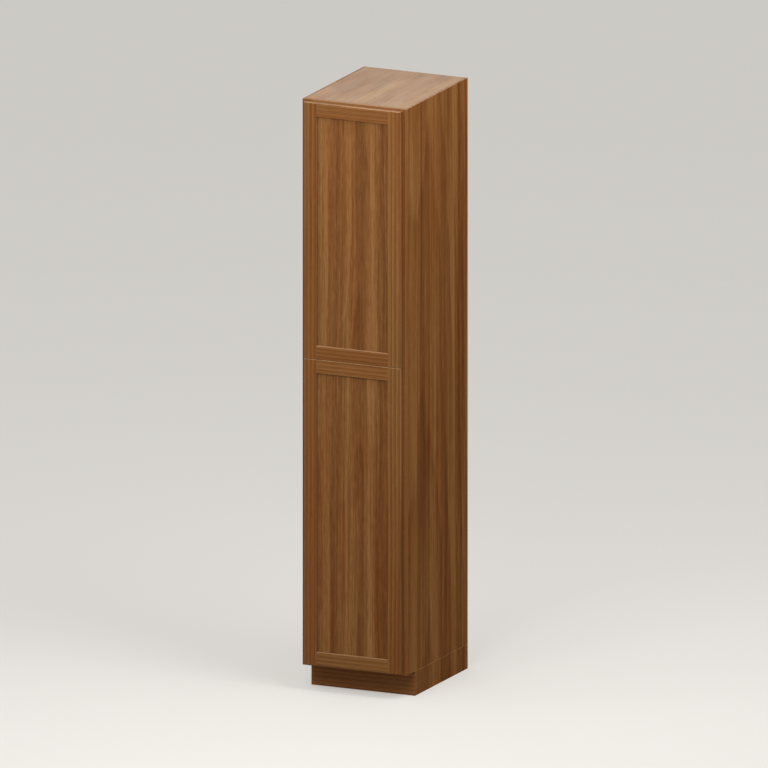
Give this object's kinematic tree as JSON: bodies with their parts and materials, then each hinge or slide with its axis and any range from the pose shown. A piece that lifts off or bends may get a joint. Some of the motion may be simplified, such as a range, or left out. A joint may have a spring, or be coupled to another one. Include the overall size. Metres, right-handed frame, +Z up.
{
  "type": "broom cupboard",
  "caption": "Tall narrow wooden broom cupboard with stacked frame-and-panel doors, touch latches, a face frame, adjustable shelves and a recessed plinth.",
  "frame": {"origin": "middle of the footprint, on the floor", "axes": "+Z up, -Y towards the viewer out of the doors, +X to the right seen from the front"},
  "size_m": [0.4572, 0.6126, 2.4384],
  "materials": {
    "door_walnut": "satin lacquered walnut",
    "case_walnut": "satin lacquered walnut veneer",
    "frame_walnut": "satin lacquered walnut",
    "plinth_walnut": "satin lacquered walnut",
    "rail_poplar": "bare planed poplar",
    "dowel_beech": "bare fluted beech",
    "hinge_bronze": "dark bronze plated steel",
    "nickel_steel": "nickel plated steel",
    "zinc_screw": "zinc plated steel",
    "latch_plastic": "moulded dark brown plastic",
    "bumper_rubber": "soft translucent bumper"
  },
  "bodies": {
    "carcass": {"side_left": "case_walnut", "side_right": "case_walnut", "top_panel": "case_walnut", "bottom_panel": "case_walnut", "fixed_shelf": "case_walnut", "back_panel": "case_walnut", "hang_rail_bottom": "rail_poplar", "hang_rail_middle": "rail_poplar", "hang_rail_top": "rail_poplar", "adjustable_shelf_1": "case_walnut", "adjustable_shelf_2": "case_walnut", "shelf_pins": "nickel_steel", "face_stile_left": "frame_walnut", "face_stile_right": "frame_walnut", "face_rail_bottom": "frame_walnut", "face_rail_middle": "frame_walnut", "face_rail_top": "frame_walnut", "face_frame_dowels": "dowel_beech", "plinth_front": "plinth_walnut", "plinth_back": "plinth_walnut", "plinth_left": "plinth_walnut", "plinth_right": "plinth_walnut", "plinth_brace": "rail_poplar", "plinth_corner_blocks": "rail_poplar", "plinth_screws": "zinc_screw", "hinge_frame_leaves": "hinge_bronze", "hinge_pins": "hinge_bronze", "hinge_frame_screws": "hinge_bronze", "upper_latch_housing": "latch_plastic", "lower_latch_housing": "latch_plastic", "latch_screws": "zinc_screw"},
    "upper_door": {"upper_door_hinge_stile": "door_walnut", "upper_door_free_stile": "door_walnut", "upper_door_top_rail": "door_walnut", "upper_door_bottom_rail": "door_walnut", "upper_door_panel": "door_walnut", "upper_door_hinge_leaves": "hinge_bronze", "upper_door_hinge_screws": "hinge_bronze", "upper_door_strike": "nickel_steel", "upper_door_strike_screws": "zinc_screw", "upper_door_bumpers": "bumper_rubber"},
    "upper_latch": {"upper_latch_plunger": "latch_plastic", "upper_latch_magnet": "nickel_steel"},
    "lower_door": {"lower_door_hinge_stile": "door_walnut", "lower_door_free_stile": "door_walnut", "lower_door_top_rail": "door_walnut", "lower_door_bottom_rail": "door_walnut", "lower_door_panel": "door_walnut", "lower_door_hinge_leaves": "hinge_bronze", "lower_door_hinge_screws": "hinge_bronze", "lower_door_strike": "nickel_steel", "lower_door_strike_screws": "zinc_screw", "lower_door_bumpers": "bumper_rubber"},
    "lower_latch": {"lower_latch_plunger": "latch_plastic", "lower_latch_magnet": "nickel_steel"}
  },
  "joints": [
    {"name": "upper_door_swing", "type": "hinge", "parent": "carcass", "child": "upper_door", "pos_m": [-0.2167, -0.28775, 1.90305], "axis": [0, 0, -1], "range_deg": [0, 110]},
    {"name": "upper_latch_push", "type": "slide", "parent": "carcass", "child": "upper_latch", "axis": [0, 1, 0], "range_m": [0, 0.003], "stiffness_N_per_m": 400, "springref_m": -0.003},
    {"name": "lower_door_swing", "type": "hinge", "parent": "carcass", "child": "lower_door", "pos_m": [-0.2167, -0.28775, 0.74305], "axis": [0, 0, -1], "range_deg": [0, 110]},
    {"name": "lower_latch_push", "type": "slide", "parent": "carcass", "child": "lower_latch", "axis": [0, 1, 0], "range_m": [0, 0.003], "stiffness_N_per_m": 400, "springref_m": -0.003}
  ]
}
